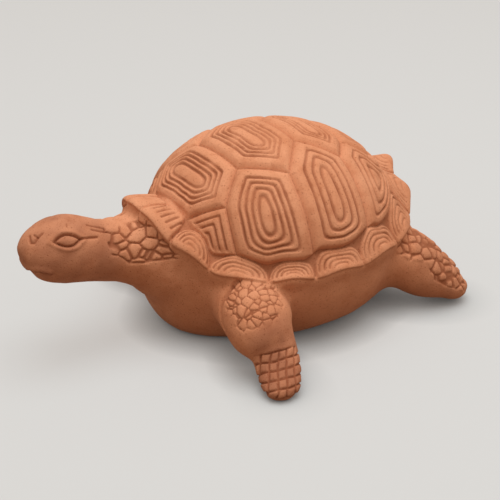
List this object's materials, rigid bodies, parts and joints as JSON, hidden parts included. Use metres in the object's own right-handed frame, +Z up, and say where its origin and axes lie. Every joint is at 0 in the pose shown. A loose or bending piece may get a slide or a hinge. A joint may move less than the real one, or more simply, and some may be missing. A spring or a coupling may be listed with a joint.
{
  "type": "terracotta turtle figurine",
  "caption": "One-piece terracotta tortoise figurine with a high domed shell of ring-grooved scutes, standing on its flat belly and feet.",
  "frame": {"origin": "on the ground, at the centre of the figurine's length and width", "axes": "+X towards the head, +Y to the animal's left side, +Z up"},
  "size_m": [0.2562, 0.2138, 0.1091],
  "materials": {
    "terracotta": "unglazed matt orange fired clay, faintly grainy, slightly darker in the grooves"
  },
  "bodies": {
    "root": {"turtle_figurine": "terracotta"}
  },
  "joints": []
}
